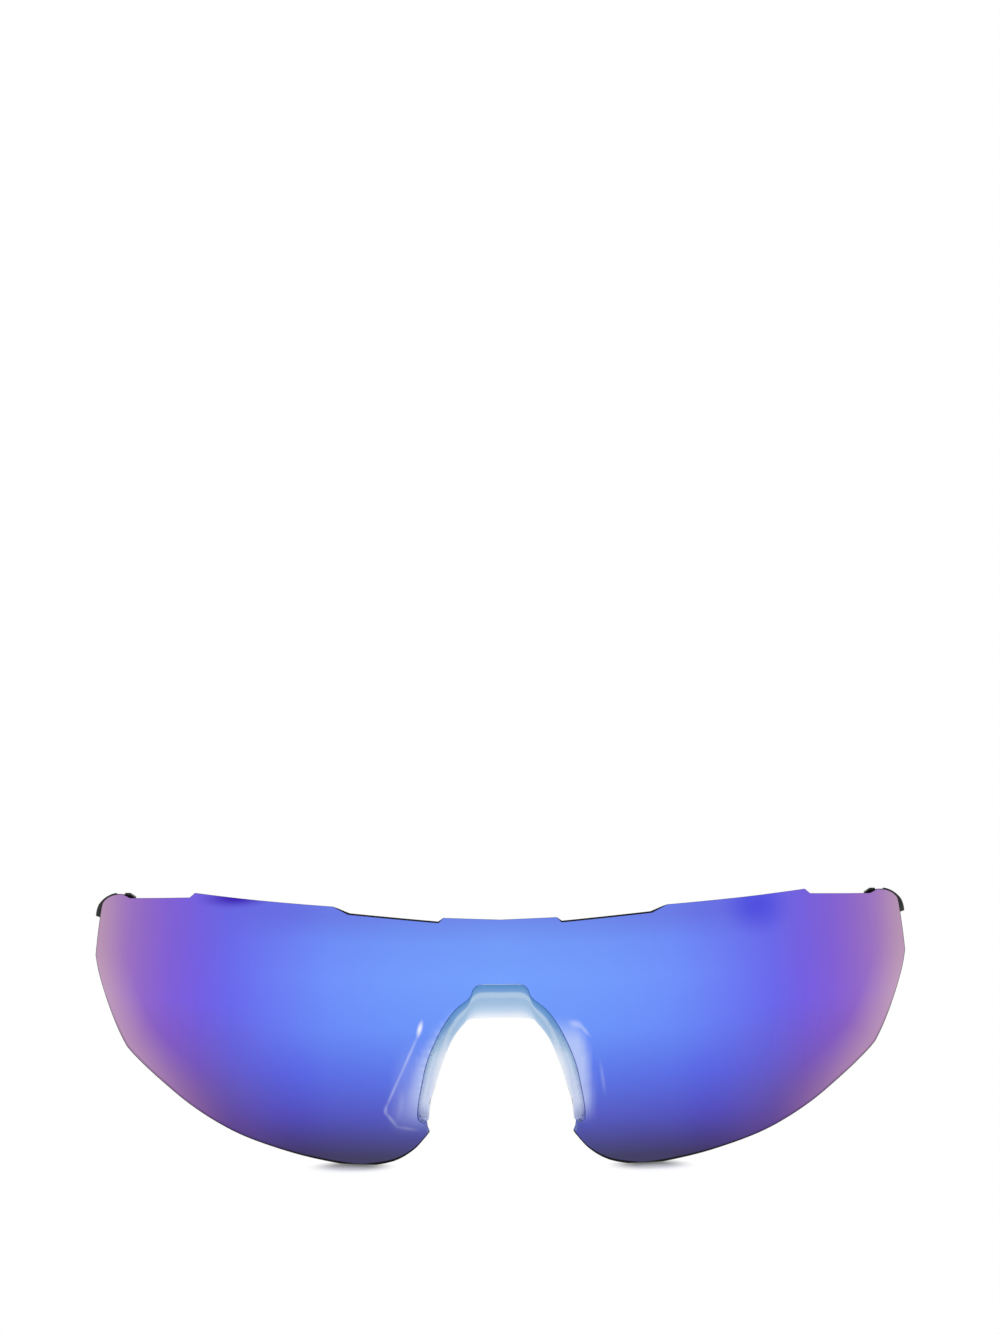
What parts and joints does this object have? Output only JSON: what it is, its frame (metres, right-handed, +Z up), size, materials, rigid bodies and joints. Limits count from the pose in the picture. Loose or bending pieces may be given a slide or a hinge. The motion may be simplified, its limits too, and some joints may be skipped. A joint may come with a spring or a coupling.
{
  "type": "shield sunglasses",
  "caption": "Oversized rimless shield sunglasses: a blue-violet mirrored wrap lens, a clear clip-in nosepiece with soft pads, and folding black temples with rubber grips.",
  "frame": {"origin": "middle of the bounding box at the level of the table that the open sunglasses stand on", "axes": "+Z up; the lens faces -Y and the temples run towards +Y, where the wearer's head is; +X is the right-hand side seen from the front"},
  "size_m": [0.1502, 0.1618, 0.0472],
  "materials": {
    "mirror_lens": "dark polycarbonate with a blue-violet mirror coating, gloss",
    "clear_clip": "clear moulded nylon, gloss",
    "clear_pad": "clear soft silicone, satin",
    "black_nylon": "black moulded nylon, satin gloss",
    "grip_rubber": "black moulded rubber, matt",
    "hinge_steel": "brushed stainless steel"
  },
  "bodies": {
    "front": {"shield_lens": "mirror_lens", "nose_clip": "clear_clip", "nose_pad_left": "clear_pad", "nose_pad_right": "clear_pad", "endpiece_left": "black_nylon", "hinge_bracket_left": "hinge_steel", "bracket_screw_1_left": "hinge_steel", "bracket_screw_2_left": "hinge_steel", "hinge_screw_left": "hinge_steel", "endpiece_right": "black_nylon", "hinge_bracket_right": "hinge_steel", "bracket_screw_1_right": "hinge_steel", "bracket_screw_2_right": "hinge_steel", "hinge_screw_right": "hinge_steel"},
    "temple_left": {"hinge_leaf_left": "hinge_steel", "leaf_screw_1_left": "hinge_steel", "leaf_screw_2_left": "hinge_steel", "temple_left": "black_nylon", "temple_grip_left": "grip_rubber"},
    "temple_right": {"hinge_leaf_right": "hinge_steel", "leaf_screw_1_right": "hinge_steel", "leaf_screw_2_right": "hinge_steel", "temple_right": "black_nylon", "temple_grip_right": "grip_rubber"}
  },
  "joints": [
    {"name": "temple_left_hinge", "type": "hinge", "parent": "front", "child": "temple_left", "pos_m": [-0.06923, -0.02297, 0.04101], "axis": [0, 0, -1], "range_deg": [0, 98]},
    {"name": "temple_right_hinge", "type": "hinge", "parent": "front", "child": "temple_right", "pos_m": [0.06923, -0.02297, 0.04101], "axis": [0, 0, 1], "range_deg": [0, 86]}
  ]
}
